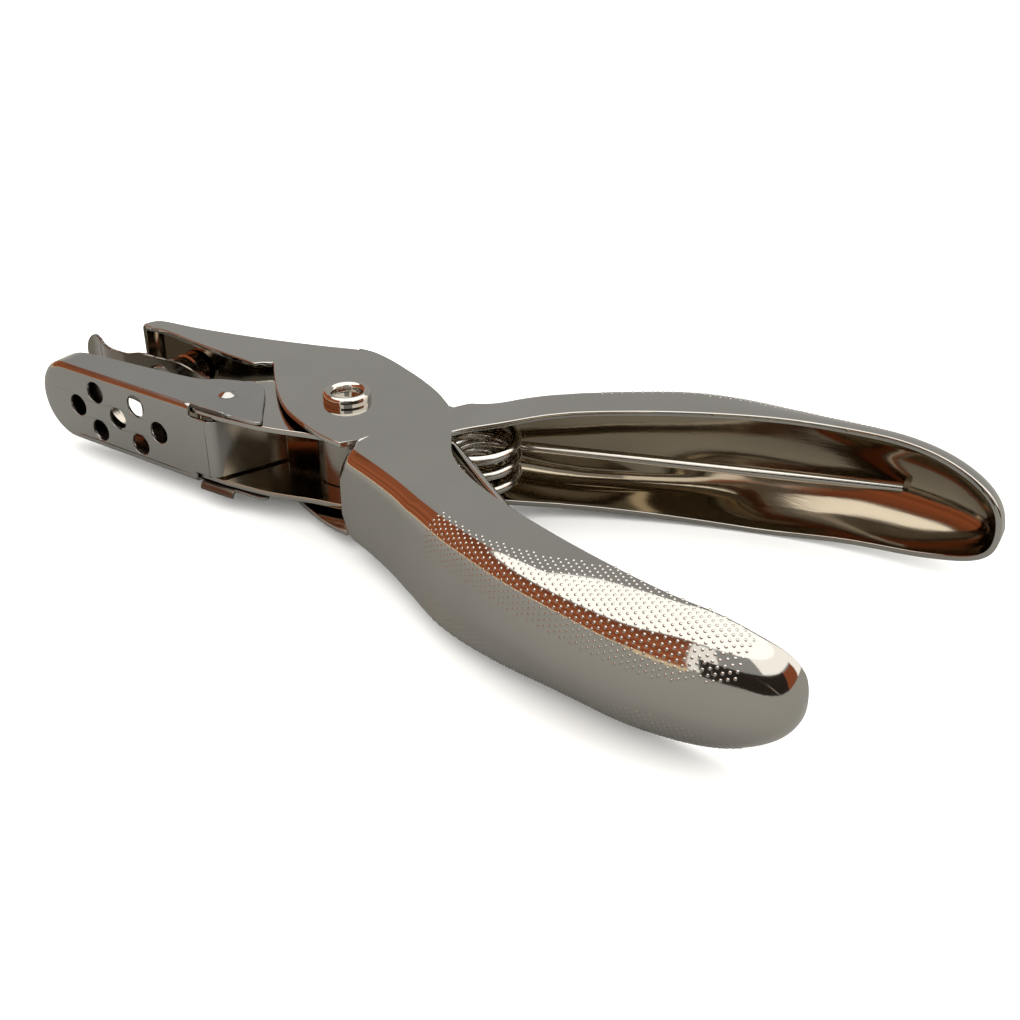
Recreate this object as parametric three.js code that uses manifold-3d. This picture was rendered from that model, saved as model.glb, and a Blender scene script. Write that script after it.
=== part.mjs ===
// Plier-type single hole punch, lying on its side.
//
// Row frame: millimetres, +Z up. The pivot axis is +Z, the origin is on that axis at the surface the
// tool rests on, +X runs from the pivot towards the handles, the jaws are on the -X side. At rest the
// two handles are mirror images of each other about the XZ plane.
//
// Two levers, each pressed from one sheet, cross at the pivot. The outer lever has its handle on -Y and
// carries the punch pin on +Y. The inner lever sits between the outer lever's cheeks: its handle is on
// +Y and its jaw, on -Y, carries the die plate, the paper guide and the hinged chip tray.

import * as THREE from 'three';
import Module from 'manifold-3d';
import { mergeVertices } from 'three/addons/utils/BufferGeometryUtils.js';

const wasm = await Module();
wasm.setup();

// ---- driving dimensions (mm) ----

const SHEET = 0.8;                  // lever sheet thickness
const PALM_HALF_WIDTH = 9.1;        // widest half width of both handles, which sets the resting height
const INNER_TIP_X = 85.2;           // end of the inner lever's handle
const OUTER_TIP_X = 76.6;           // end of the outer lever's handle
const OUTER_CHEEK = 7.1;            // half width over the outer lever's cheeks
const INNER_CHEEK = 5.5;            // half width over the inner lever's cheeks
const TRAY_CHEEK = 6.15;            // half width over the chip tray's cheeks
const TRAY_SHEET = 0.45;

const PUNCH_X = -37.4;              // punch pin axis
const PUNCH_RADIUS = 3.0;
const PUNCH_TIP_Y = 0.9;
const DIE_X = -37.0;                // the punch swings in on an arc, so the die sits a little nearer the pivot
const DIE_RADIUS = 3.5;             // hole in the die plate and in the inner lever's jaw web
const GUIDE_HOLE_RADIUS = 3.5;      // hole in the paper guide

const RIVET_BORE = 2.2;             // blind bore of the semi-tubular pivot rivet
const RIVET_BORE_FLOOR = 1.4;       // solid thickness of its lower head
const RIVET_SHANK = 2.9;
const RIVET_HEAD = 3.35;
const RIVET_HEAD_HEIGHT = 1.9;
const RIVET_CLEARANCE = 0.05;
const SPACER_RADIUS = 4.6;

const TRAY_PIVOT = { x: -16.6, y: -6.4 };
const TRAY_NOSE_X = -50.9;
const TRAY_SLIT_X = -19;            // behind this the floor narrows to swing between the inner lever's cheeks
const TRAY_REAR_X = -15.2;
const TRAY_TONGUE_HALF = 4.4;
const TRAY_HOLE_RADIUS = 1.7;
const DIMPLE_RADIUS = 1.3;
const DIMPLE_DEPTH = 0.5;
const NOSE_GAP = 0.3;               // between the tray's nose and the jaw inside it

const WIRE_RADIUS = 0.75;           // return spring
const COIL_CENTRE = { x: 17.6, y: 6.8 };
const COIL_RADIUS = 5.2;
const COIL_PITCH = 1.6;

const ROUND_SIDES = 32;

// ---- solids ----

function toManifold(geometry) {
  const bare = geometry.index ? geometry.toNonIndexed() : geometry.clone();
  bare.deleteAttribute('normal');
  bare.deleteAttribute('uv');
  const merged = mergeVertices(bare, 1e-4);
  return new wasm.Manifold(new wasm.Mesh({
    numProp: 3,
    vertProperties: new Float32Array(merged.attributes.position.array),
    triVerts: new Uint32Array(merged.index.array),
  }));
}

function toGeometry(solid) {
  const mesh = solid.getMesh();
  const geometry = new THREE.BufferGeometry();
  geometry.setAttribute('position', new THREE.BufferAttribute(mesh.vertProperties, 3));
  geometry.setIndex(new THREE.BufferAttribute(mesh.triVerts, 1));
  geometry.computeVertexNormals();
  return geometry;
}

function union(solids) {
  return solids.reduce((sum, solid) => sum.add(solid));
}

// A flat plate: an outline in XY, from zLow to zHigh.
function plate(shape, zLow, zHigh, curveSegments = 6) {
  const geometry = new THREE.ExtrudeGeometry(shape, { depth: zHigh - zLow, bevelEnabled: false, curveSegments });
  geometry.translate(0, 0, zLow);
  return toManifold(geometry);
}

// The same outline as a pair of plates, mirrored about the mid-plane.
function cheekPair(shape, outerHalf, sheet) {
  return plate(shape, outerHalf - sheet, outerHalf).add(plate(shape, -outerHalf, sheet - outerHalf));
}

function cylinderZ(radius, zLow, zHigh, x = 0, y = 0, sides = ROUND_SIDES) {
  const geometry = new THREE.CylinderGeometry(radius, radius, zHigh - zLow, sides);
  geometry.rotateX(Math.PI / 2);
  geometry.translate(x, y, (zLow + zHigh) / 2);
  return toManifold(geometry);
}

function cylinderY(radius, yLow, yHigh, x, z, sides = ROUND_SIDES) {
  const geometry = new THREE.CylinderGeometry(radius, radius, yHigh - yLow, sides);
  geometry.translate(x, (yLow + yHigh) / 2, z);
  return toManifold(geometry);
}

// An outline in XZ, drawn as (x, z), from yLow to yHigh.
function alongY(shape, yLow, yHigh) {
  const geometry = new THREE.ExtrudeGeometry(shape, { depth: yHigh - yLow, bevelEnabled: false, curveSegments: 12 });
  geometry.rotateX(Math.PI / 2);
  geometry.translate(0, yHigh, 0);
  return toManifold(geometry);
}

function points(pairs) {
  return pairs.map(([x, y]) => new THREE.Vector2(x, y));
}

// A closed outline through rows of points.
function outline(...rows) {
  return new THREE.Shape(rows.flat());
}

// A smooth line through a few points, sampled evenly.
function smooth(pairs, count) {
  return new THREE.SplineCurve(points(pairs)).getSpacedPoints(count);
}

// A bent strip seen edge-on: the line is one face, the other is offset to its left by the thickness.
function strip(line, thickness) {
  const other = line.map((point, i) => {
    const before = line[Math.max(i - 1, 0)];
    const after = line[Math.min(i + 1, line.length - 1)];
    const along = after.clone().sub(before).normalize();
    return new THREE.Vector2(point.x - along.y * thickness, point.y + along.x * thickness);
  });
  return new THREE.Shape([...line, ...other.reverse()]);
}

// A closed skin over a row of section loops, with flat ends.
function loft(loops) {
  const sides = loops[0].length;
  const vertices = loops.flat();
  const triangles = [];
  for (let i = 0; i + 1 < loops.length; i += 1) {
    for (let j = 0; j < sides; j += 1) {
      const a = i * sides + j;
      const b = i * sides + (j + 1) % sides;
      triangles.push(a, b + sides, b, a, a + sides, b + sides);
    }
  }
  const last = (loops.length - 1) * sides;
  for (let j = 1; j + 1 < sides; j += 1) {
    triangles.push(0, j, j + 1);
    triangles.push(last, last + j + 1, last + j);
  }
  const geometry = new THREE.BufferGeometry().setFromPoints(vertices);
  geometry.setIndex(triangles);
  return toManifold(geometry);
}

// ---- handles: a spoon-shaped shell, open towards the other handle ----

// Pairs of points across the channel, from its open rim to its back, for a handle on +Y. Both handles
// have the same line as far as the palms; the outer lever's palm is shorter.
const HANDLE_FRONT = [
  { rim: [22.3, 6.6], back: [20.0, 16.2] },
  { rim: [28.5, 11.2], back: [25.5, 19.2] },
  { rim: [37.0, 15.6], back: [33.5, 23.5] },
  { rim: [47.0, 19.6], back: [44.0, 28.0] },
  { rim: [57.0, 22.6], back: [55.0, 30.5] },
];
const OUTER_HANDLE = [
  { rim: [13.0, -6.0], back: [8.8, 12.0] },
  { rim: [17.5, -0.2], back: [14.6, 13.8] },
  ...HANDLE_FRONT,
  { rim: [64.0, 23.8], back: [62.5, 30.6] },
  { rim: [70.5, 23.6], back: [70.0, 29.4] },
  { rim: [OUTER_TIP_X, 21.6], back: [OUTER_TIP_X, 26.6] },
];
const INNER_HANDLE = [
  { rim: [13.0, -4.5], back: [12.0, 11.8] },
  { rim: [17.2, 2.6], back: [16.3, 13.8] },
  ...HANDLE_FRONT,
  { rim: [67.5, 24.1], back: [66.5, 31.9] },
  { rim: [77.0, 24.0], back: [77.5, 30.9] },
  { rim: [INNER_TIP_X, 22.4], back: [INNER_TIP_X, 28.4] },
];

const HANDLE_STEPS = 20;
const CORNER_STEPS = 5;
const HUB_END_X = 14.2;             // the cheeks are flat and parallel up to here
const TIP_SHARE = 0.78;             // share of the handle's length after which its end rounds off
const TIP_FLAT = 0.93;              // how far round that end goes before it is closed off flat
const BEND_RADIUS = 1.8;            // bend between cheek and back near the hub
const PALM_ROUNDNESS = 0.92;        // share of the palm's section that is rounded

function quarterRound(share) {
  return Math.sqrt(Math.max(0, 1 - share * share));
}

// Half width along the handle, before the end rounds off.
function palmHalfWidth(x, hubHalf) {
  const widening = THREE.MathUtils.smoothstep(x, HUB_END_X, 33);
  const swelling = Math.sin(Math.PI / 2 * THREE.MathUtils.clamp((x - 28) / 34, 0, 1));
  return THREE.MathUtils.lerp(hubHalf, THREE.MathUtils.lerp(7.5, PALM_HALF_WIDTH, swelling), widening);
}

// One section loop at a share of the handle's length, shrunk by inset for the hollow.
function handleSection(handle, share, inset) {
  const rim = handle.rim.getPoint(share);
  const deep = handle.back.getPoint(share).sub(rim);
  const intoTip = THREE.MathUtils.clamp((share - TIP_SHARE) / (1 - TIP_SHARE), 0, 1);
  const half = palmHalfWidth(rim.x, handle.hubHalf) * quarterRound(intoTip * TIP_FLAT) - inset;
  const depth = deep.length() * quarterRound(intoTip ** 3 * TIP_FLAT) - inset;
  const rounding = THREE.MathUtils.smoothstep(rim.x, HUB_END_X, 50);
  const corner = THREE.MathUtils.lerp(BEND_RADIUS - inset, PALM_ROUNDNESS * depth, rounding);
  const cornerZ = THREE.MathUtils.lerp(BEND_RADIUS - inset, PALM_ROUNDNESS * half, rounding);
  deep.normalize();
  const at = (u, z) => new THREE.Vector3(rim.x + deep.x * u, rim.y + deep.y * u, z);
  const quarter = [];
  for (let j = 0; j <= CORNER_STEPS; j += 1) {
    const angle = Math.PI / 2 * j / CORNER_STEPS;
    quarter.push([depth - corner + corner * Math.sin(angle), half - cornerZ + cornerZ * Math.cos(angle)]);
  }
  const start = inset > 0 ? -2 : 0;
  const upper = [[start, half], ...quarter];
  const lower = upper.map(([u, z]) => [u, -z]).reverse();
  return [...upper, ...lower].map(([u, z]) => at(u, z));
}

function handleShell(hubHalf, pairs) {
  const rim = new THREE.SplineCurve(points(pairs.map((pair) => pair.rim)));
  const back = new THREE.SplineCurve(points(pairs.map((pair) => pair.back)));
  const handle = { hubHalf, rim, back };
  const shares = Array.from({ length: HANDLE_STEPS + 1 }, (_, i) => 1 - (1 - i / HANDLE_STEPS) ** 1.4);
  const outer = loft(shares.map((share) => handleSection(handle, share, 0)));
  const mouth = handleSection(handle, 0, SHEET).map((p) => p.add(new THREE.Vector3(-3, -1.5, 0)));
  const reach = 1 - SHEET / (OUTER_TIP_X - HUB_END_X);
  const hollow = loft([mouth, ...shares.slice(1).map((share) => handleSection(handle, share * reach, SHEET))]);
  return outer.subtract(hollow);
}

// ---- levers ----

const OUTER_JAW_BACK = [
  [-44.2, 5.0], [-43.6, 7.8], [-41.2, 9.0], [-36.5, 9.2], [-29.4, 10.5], [-22.5, 12.0], [-15.8, 13.8], [-9.7, 15.4],
];
const OUTER_HUB_TOP = [[-6.8, 15.4], [-3.4, 14.5], [0, 13.2], [5, 11.0], [8.4, 9.6]];
const OUTER_HUB_FRONT = [[7.6, -11.8], [1.7, -10.1], [-4.6, -7.3], [-9.0, -4.1], [-13, -0.3]];
const OUTER_JAW_EDGE = [[-20, 2.4], [-26, 3.1], [-33, 3.9], [-39.1, 4.9], [-43.2, 3.7]];

function outerJawBack() {
  return smooth(OUTER_JAW_BACK, 16);
}

// Cheek of the outer lever: punch jaw, hub and the root of the handle on -Y.
function outerCheekShape() {
  const handleRoot = points([[13.4, 5.5], [9.4, -11.9]]);
  const notch = points([[-17.4, 4.2], [-18.8, 3.4]]);
  const hub = [...smooth(OUTER_HUB_TOP, 6), ...handleRoot, ...smooth(OUTER_HUB_FRONT, 12)];
  return outline(outerJawBack(), hub, notch, smooth(OUTER_JAW_EDGE, 8));
}

function withPivotHole(solid) {
  return solid.subtract(cylinderZ(RIVET_SHANK + RIVET_CLEARANCE, -20, 20));
}

const PUNCH_TAIL_RADIUS = 1.8;      // the punch's tail goes through the jaw's back and is riveted over

function outerLever() {
  const web = plate(strip(outerJawBack().reverse(), SHEET), -OUTER_CHEEK, OUTER_CHEEK);
  const handle = handleShell(OUTER_CHEEK, OUTER_HANDLE).mirror([0, 1, 0]);
  const body = union([cheekPair(outerCheekShape(), OUTER_CHEEK, SHEET), web, handle]);
  return withPivotHole(body).subtract(cylinderY(PUNCH_TAIL_RADIUS, 5, 20, PUNCH_X, 0));
}

const INNER_JAW_TOP = [[-48.0, -6.3], [-40, -5.8], [-32, -5.3], [-24, -4.5]];
const INNER_HUB_TOP = [[-19, -0.6], [-12, 4.4], [-3, 8.0], [4, 9.4], [11.2, 11.0]];
const INNER_HUB_FRONT = [[4, -8.3], [0.6, -8.9], [-6.4, -10.7], [-14, -11.5]];

function innerJawTop() {
  return smooth(INNER_JAW_TOP, 8);
}

// Cheek of the inner lever: die jaw inside the tray, hub and the root of the handle on +Y.
function innerCheekShape() {
  const handleRoot = points([[12.5, 10.8], [13.4, -4.0], [8.0, -7.2]]);
  const underJaw = points([[-18.6, -11.5], [-26, -9.4], [-48.0, -8.6]]);
  return outline(innerJawTop(), smooth(INNER_HUB_TOP, 10), handleRoot, smooth(INNER_HUB_FRONT, 8), underJaw);
}

function innerLever() {
  const web = plate(strip(innerJawTop().reverse(), SHEET), -INNER_CHEEK, INNER_CHEEK);
  const handle = handleShell(INNER_CHEEK, INNER_HANDLE);
  const body = union([cheekPair(innerCheekShape(), INNER_CHEEK, SHEET), web, handle]);
  const dimples = cylinderZ(DIMPLE_RADIUS + 0.2, -20, 20, TRAY_PIVOT.x, TRAY_PIVOT.y, 16);
  const noseRoom = alongY(trayPlanShape(TRAY_SHEET + NOSE_GAP), -30, 30);
  const nose = toManifold(new THREE.BoxGeometry(20, 40, 20)).translate([-54, 0, 0]).subtract(noseRoom);
  return withPivotHole(body).subtract(nose).subtract(cylinderY(DIE_RADIUS, -20, 2, DIE_X, 0)).subtract(dimples);
}

// ---- pivot ----

// A semi-tubular rivet: solid flat head below, shank, and a raised rolled ring on top.
function pivotRivet() {
  const lowEnd = -PALM_HALF_WIDTH;
  const lowHead = -OUTER_CHEEK - RIVET_CLEARANCE;
  const highHead = OUTER_CHEEK + RIVET_CLEARANCE;
  const top = OUTER_CHEEK + RIVET_HEAD_HEIGHT;
  const profile = [
    [0, lowEnd], [RIVET_HEAD, lowEnd], [RIVET_HEAD, lowHead], [RIVET_SHANK, lowHead],
    [RIVET_SHANK, highHead], [RIVET_HEAD, highHead], [RIVET_HEAD, top - 0.6], [RIVET_HEAD - 0.45, top],
    [RIVET_BORE + 0.45, top], [RIVET_BORE, top - 0.6], [RIVET_BORE, lowEnd + RIVET_BORE_FLOOR],
    [0, lowEnd + RIVET_BORE_FLOOR],
  ];
  const geometry = new THREE.LatheGeometry(points(profile), ROUND_SIDES);
  geometry.rotateX(Math.PI / 2);
  return toManifold(geometry);
}

// A sleeve round the rivet that keeps the inner lever's cheeks apart.
function pivotSpacer() {
  const half = INNER_CHEEK - SHEET - RIVET_CLEARANCE;
  const bore = cylinderZ(RIVET_SHANK + RIVET_CLEARANCE, -half - 1, half + 1);
  return cylinderZ(SPACER_RADIUS, -half, half).subtract(bore);
}

// ---- jaws ----

// The punch: a round pin with a thinner tail, riveted over outside the jaw's back.
function punchPin() {
  const backY = 9.05;
  const shank = cylinderY(PUNCH_RADIUS, PUNCH_TIP_Y, backY - SHEET - 0.25, PUNCH_X, 0);
  const tail = cylinderY(PUNCH_TAIL_RADIUS - 0.05, backY - SHEET - 1, backY + 0.7, PUNCH_X, 0);
  const head = cylinderY(PUNCH_RADIUS * 0.85, backY + 0.5, backY + 1, PUNCH_X, 0);
  return union([shank, tail, head]);
}

const DIE_PLATE = { length: 14, thickness: 1.2, width: 9.2, topY: -6.55, angle: 3.6 };

function diePlate() {
  const block = toManifold(new THREE.BoxGeometry(DIE_PLATE.length, DIE_PLATE.thickness, DIE_PLATE.width));
  const placed = block.rotate([0, 0, DIE_PLATE.angle]).translate([DIE_X, DIE_PLATE.topY - DIE_PLATE.thickness / 2, 0]);
  return placed.subtract(cylinderY(DIE_RADIUS - 0.1, -20, 2, DIE_X, 0));
}

const GUIDE_SHEET = 0.5;
const GUIDE_HALF_WIDTH = 4.9;
const GUIDE_NOSE_X = -52.7;         // centre of the leaf's round nose
const GUIDE_LINE = [
  [-57.6, 3.8], [-55.4, 3.5], [-52.8, 2.4], [-49.4, 0.6], [-46, 0.0], [-40, 0.3], [-34, 0.6], [-30, 0.6],
  [-26.6, -0.4], [-24.4, -2.2], [-23.2, -3.6],
];

// A spring leaf that the paper slides under and that strips it off the punch. It bends at its heel.
function paperGuide() {
  const leaf = plate(strip(smooth(GUIDE_LINE, 26), GUIDE_SHEET), -GUIDE_HALF_WIDTH, GUIDE_HALF_WIDTH);
  const corners = new THREE.Shape();
  corners.moveTo(-64, -8);
  corners.lineTo(GUIDE_NOSE_X, -8);
  corners.lineTo(GUIDE_NOSE_X, -GUIDE_HALF_WIDTH);
  corners.absarc(GUIDE_NOSE_X, 0, GUIDE_HALF_WIDTH, -Math.PI / 2, -Math.PI * 1.5, true);
  corners.lineTo(GUIDE_NOSE_X, 8);
  corners.lineTo(-64, 8);
  corners.closePath();
  return leaf.subtract(alongY(corners, -6, 8)).subtract(cylinderY(GUIDE_HOLE_RADIUS, -10, 5, PUNCH_X, 0));
}

// ---- chip tray ----

const TRAY_FLOOR = [[TRAY_NOSE_X + 2.2, -11.3], [TRAY_SLIT_X, -12.1], [TRAY_REAR_X, -12.2]];
const TRAY_TOP = [[-48.1, -6.7], [-40, -5.9], [-32, -5.3], [-24, -4.4]];

// The tray seen from the side. For the hollow it is inset, and runs out past the open top and rear.
function traySideShape(inset, lift) {
  const [nose, slit] = TRAY_FLOOR;
  const shape = new THREE.Shape();
  shape.moveTo(slit[0], slit[1] + inset);
  shape.lineTo(nose[0], nose[1] + inset);
  shape.quadraticCurveTo(TRAY_NOSE_X + inset, nose[1] + inset, TRAY_NOSE_X + inset, -8.6);
  shape.quadraticCurveTo(TRAY_NOSE_X + inset, -6.9 + lift, TRAY_TOP[0][0], TRAY_TOP[0][1] + lift);
  shape.splineThru(points(TRAY_TOP.slice(1).map(([x, y]) => [x, y + lift])));
  shape.splineThru(points([[-21.4, -2.9 + lift], [-18.5, -1.8 + lift], [-14.9, -1.2 + lift]]));
  shape.lineTo(lift - 6.9, lift > 0 ? -13 : -10.5);
  shape.closePath();
  return shape;
}

// The tray seen from below: straight sides and a round nose.
function trayPlanShape(inset) {
  const half = TRAY_CHEEK - inset;
  const noseLength = 7 - inset;
  const shape = new THREE.Shape();
  const start = TRAY_NOSE_X + 7;
  shape.moveTo(0, -half);
  shape.lineTo(start, -half);
  shape.absellipse(start, 0, noseLength, half, -Math.PI / 2, -Math.PI * 1.5, true);
  shape.lineTo(0, half);
  shape.closePath();
  return shape;
}

function trayHoles() {
  const rows = [[-42.9, 0], [-34.3, 0], [-25.7, 0], [-38.6, 3.1], [-30.0, 3.1], [-38.6, -3.1], [-30.0, -3.1]];
  return union(rows.map(([x, z]) => cylinderY(TRAY_HOLE_RADIUS, -15, -10, x, z, 20)));
}

function chipTray() {
  const outer = plate(traySideShape(0, 0), -TRAY_CHEEK, TRAY_CHEEK).intersect(alongY(trayPlanShape(0), -20, 5));
  const cut = plate(traySideShape(TRAY_SHEET, 3), TRAY_SHEET - TRAY_CHEEK, TRAY_CHEEK - TRAY_SHEET);
  const hollow = cut.intersect(alongY(trayPlanShape(TRAY_SHEET), -20, 5));
  const tongueLine = points([[TRAY_SLIT_X - 1, -12.1], [TRAY_REAR_X, -12.2], [-14.5, -11.4], [-10.4, -1.7]]);
  const tongue = plate(strip(tongueLine, TRAY_SHEET), -TRAY_TONGUE_HALF, TRAY_TONGUE_HALF);
  const slitDepth = 1.6;
  const slits = [-1, 1].map((side) => {
    const slit = toManifold(new THREE.BoxGeometry(14, slitDepth, TRAY_CHEEK - TRAY_TONGUE_HALF - TRAY_SHEET));
    const middle = (TRAY_CHEEK - TRAY_SHEET + TRAY_TONGUE_HALF) / 2;
    return slit.translate([TRAY_SLIT_X + 7, -12, side * middle]);
  });
  const dimple = cylinderZ(DIMPLE_RADIUS, 0, DIMPLE_DEPTH + TRAY_SHEET, TRAY_PIVOT.x, TRAY_PIVOT.y, 16);
  const low = TRAY_CHEEK - TRAY_SHEET - DIMPLE_DEPTH;
  const dimples = dimple.translate([0, 0, low]).add(dimple.mirror([0, 0, 1]).translate([0, 0, -low]));
  return union([outer.subtract(hollow).subtract(union(slits)), tongue, dimples]).subtract(trayHoles());
}

// ---- return spring ----

// One wire: a leg along the inner lever's handle, the coil, and a leg along the outer lever's handle.
function returnSpring() {
  const turns = 3;
  const innerEnd = new THREE.Vector3(70.5, 29.9, -0.6);
  const outerEnd = new THREE.Vector3(62, -28.4, 0.6);
  const slope = (end, side) => Math.atan2(end.y - COIL_CENTRE.y - side * COIL_RADIUS, end.x - COIL_CENTRE.x);
  const startAngle = Math.PI / 2 + slope(innerEnd, 1);
  const endAngle = Math.PI * 1.5 + slope(outerEnd, -1) + 2 * Math.PI * turns;
  const rise = COIL_PITCH * (endAngle - startAngle) / (2 * Math.PI);
  const steps = 16 * turns;
  const wire = [innerEnd];
  for (let i = 0; i <= steps; i += 1) {
    const angle = startAngle + (endAngle - startAngle) * i / steps;
    const x = COIL_CENTRE.x + COIL_RADIUS * Math.cos(angle);
    const y = COIL_CENTRE.y + COIL_RADIUS * Math.sin(angle);
    wire.push(new THREE.Vector3(x, y, rise * (i / steps - 0.5)));
  }
  wire.push(outerEnd);
  const path = new THREE.CurvePath();
  for (let i = 0; i + 1 < wire.length; i += 1) {
    path.add(new THREE.LineCurve3(wire[i], wire[i + 1]));
  }
  const section = new THREE.Shape();
  section.absarc(0, 0, WIRE_RADIUS, 0, Math.PI * 2);
  const options = { steps: 110, bevelEnabled: false, extrudePath: path, curveSegments: 4 };
  return toManifold(new THREE.ExtrudeGeometry(section, options));
}

// ---- assembly ----

const nickel = { color: 0x8f8c84, roughness: 0.12, metalness: 1 };
const steel = { color: 0xa6a39b, roughness: 0.2, metalness: 1 };
const darkSteel = { color: 0x6f6c66, roughness: 0.3, metalness: 1 };

const PARTS = [
  ['outer_lever', outerLever, nickel],
  ['inner_lever', innerLever, nickel],
  ['pivot_rivet', pivotRivet, nickel],
  ['pivot_spacer', pivotSpacer, steel],
  ['return_spring', returnSpring, steel],
  ['punch_pin', punchPin, darkSteel],
  ['die_plate', diePlate, darkSteel],
  ['paper_guide', paperGuide, nickel],
  ['chip_tray', chipTray, nickel],
];

const group = new THREE.Group();
group.position.z = PALM_HALF_WIDTH;
for (const [name, make, finish] of PARTS) {
  const mesh = new THREE.Mesh(toGeometry(make()), new THREE.MeshStandardMaterial(finish));
  mesh.name = name;
  group.add(mesh);
}

export default group;
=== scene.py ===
"""Looks of a plier-type single hole punch in bright nickel plate, lying on its side.

Shapes are worked out in millimetres, in the part's own frame but with z measured from the mid-plane of
the tool, and are turned into metres in the row frame when each mesh is made.
"""

import math

import bmesh
import bpy
from mathutils import Matrix, Vector


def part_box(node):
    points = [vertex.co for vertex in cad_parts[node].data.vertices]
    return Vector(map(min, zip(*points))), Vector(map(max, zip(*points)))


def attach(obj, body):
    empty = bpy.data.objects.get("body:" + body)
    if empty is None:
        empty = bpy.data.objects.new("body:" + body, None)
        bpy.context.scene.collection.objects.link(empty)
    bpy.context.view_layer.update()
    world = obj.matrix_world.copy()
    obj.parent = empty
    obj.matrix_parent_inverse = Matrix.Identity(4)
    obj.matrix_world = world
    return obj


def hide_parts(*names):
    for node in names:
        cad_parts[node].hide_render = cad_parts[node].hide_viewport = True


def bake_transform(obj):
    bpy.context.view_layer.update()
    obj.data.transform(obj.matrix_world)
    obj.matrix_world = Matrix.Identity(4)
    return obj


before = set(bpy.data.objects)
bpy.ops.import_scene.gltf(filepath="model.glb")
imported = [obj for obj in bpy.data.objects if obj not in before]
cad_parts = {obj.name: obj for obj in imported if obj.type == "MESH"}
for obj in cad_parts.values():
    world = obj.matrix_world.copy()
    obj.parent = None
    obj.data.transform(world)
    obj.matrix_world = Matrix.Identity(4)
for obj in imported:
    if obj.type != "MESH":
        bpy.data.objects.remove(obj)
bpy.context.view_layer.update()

MM = 0.001
SPACER_LOW, SPACER_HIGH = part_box("pivot_spacer")
MID_Z = (SPACER_LOW.z + SPACER_HIGH.z) / 2
QUARTER = math.pi / 2

SHEET = 0.8
TRAY_SHEET = 0.45
PALM_HALF_WIDTH = 9.1
OUTER_CHEEK = 7.1
INNER_CHEEK = 5.5
TRAY_CHEEK = 6.15
BEND_RADIUS = 2.3
RIM_ROUND = 0.16
HUB_END_X = 14.2
TIP_SHARE = 0.78
PALM_BEND = 2.9
PALM_POWER = 2.2
LOW_PALM_POWER = 1.7
LOW_TIP_SHARE = 0.84
TIP_POWER = 2.0
SHOULDER_BEND = 3.4
SHOULDER_DROP = 1.5


# ---- small geometry helpers ----


def clamp(value, low=0.0, high=1.0):
    return max(low, min(high, value))


def lerp(a, b, share):
    return a + (b - a) * share


def smoothstep(value, low, high):
    share = clamp((value - low) / (high - low))
    return share * share * (3 - 2 * share)


def spline_point(pairs, share):
    """A point of the smooth curve through a row of points."""
    last = len(pairs) - 1
    place = clamp(share) * last
    i = min(int(place), last - 1)
    t = place - i
    p0, p1, p2, p3 = (
        Vector(pairs[clamp(k, 0, last)]) for k in (i - 1, i, i + 1, i + 2)
    )
    if i == 0:
        p0 = p1
    if i + 2 > last:
        p3 = p2
    v0, v1 = (p2 - p0) / 2, (p3 - p1) / 2
    cubic = (2 * p1 - 2 * p2 + v0 + v1) * t**3
    return cubic + (3 * p2 - 3 * p1 - 2 * v0 - v1) * t**2 + v0 * t + p1


def resample(line, count):
    """The same line as count + 1 points, evenly spaced along it."""
    lengths = [0.0]
    for a, b in zip(line, line[1:]):
        lengths.append(lengths[-1] + (b - a).length)
    out = []
    k = 0
    for i in range(count + 1):
        target = lengths[-1] * i / count
        while k < len(line) - 2 and lengths[k + 1] < target:
            k += 1
        step = lengths[k + 1] - lengths[k]
        out.append(line[k].lerp(line[k + 1], clamp((target - lengths[k]) / step)))
    return out


def smooth(pairs, count):
    """A smooth line through a few points, sampled evenly."""
    fine = [spline_point(pairs, i / 200) for i in range(201)]
    return resample(fine, count)


def inward_normals(line, side):
    """Unit normals of a 2-D line: side 1 is on its left, side -1 on its right."""
    out = []
    for i in range(len(line)):
        along = line[min(i + 1, len(line) - 1)] - line[max(i - 1, 0)]
        along.normalize()
        out.append(Vector((-along.y, along.x)) * side)
    return out


class Surface:
    """Collects points and faces, in millimetres from the mid-plane, for one mesh."""

    def __init__(self):
        self.points = []
        self.faces = []

    def add(self, point):
        self.points.append(Vector(point))
        return len(self.points) - 1

    def grid(self, rows, closed=False):
        """Quads between rows of points."""
        ids = [[self.add(p) for p in row] for row in rows]
        count = len(ids[0])
        for a, b in zip(ids, ids[1:]):
            for j in range(count if closed else count - 1):
                k = (j + 1) % count
                self.faces.append((a[j], a[k], b[k], b[j]))
        return ids

    def polygon(self, loop):
        self.faces.append([self.add(p) for p in loop])

    def mirror_z(self):
        """Adds the mirror image about the mid-plane."""
        start = len(self.points)
        self.points += [Vector((p.x, p.y, -p.z)) for p in self.points]
        self.faces += [[start + i for i in reversed(f)] for f in list(self.faces)]

    def mirror_y(self):
        self.points = [Vector((p.x, -p.y, p.z)) for p in self.points]
        self.faces = [list(reversed(f)) for f in self.faces]

    def mesh_object(self, name, weld=0.01):
        mesh = bpy.data.meshes.new(name)
        places = [(p.x * MM, p.y * MM, MID_Z + p.z * MM) for p in self.points]
        mesh.from_pydata(places, [], self.faces)
        bm = bmesh.new()
        bm.from_mesh(mesh)
        bmesh.ops.remove_doubles(bm, verts=bm.verts, dist=weld * MM)
        bmesh.ops.dissolve_degenerate(bm, edges=bm.edges, dist=0.002 * MM)
        bmesh.ops.recalc_face_normals(bm, faces=bm.faces)
        bm.to_mesh(mesh)
        bm.free()
        obj = bpy.data.objects.new(name, mesh)
        bpy.context.scene.collection.objects.link(obj)
        return obj


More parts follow.
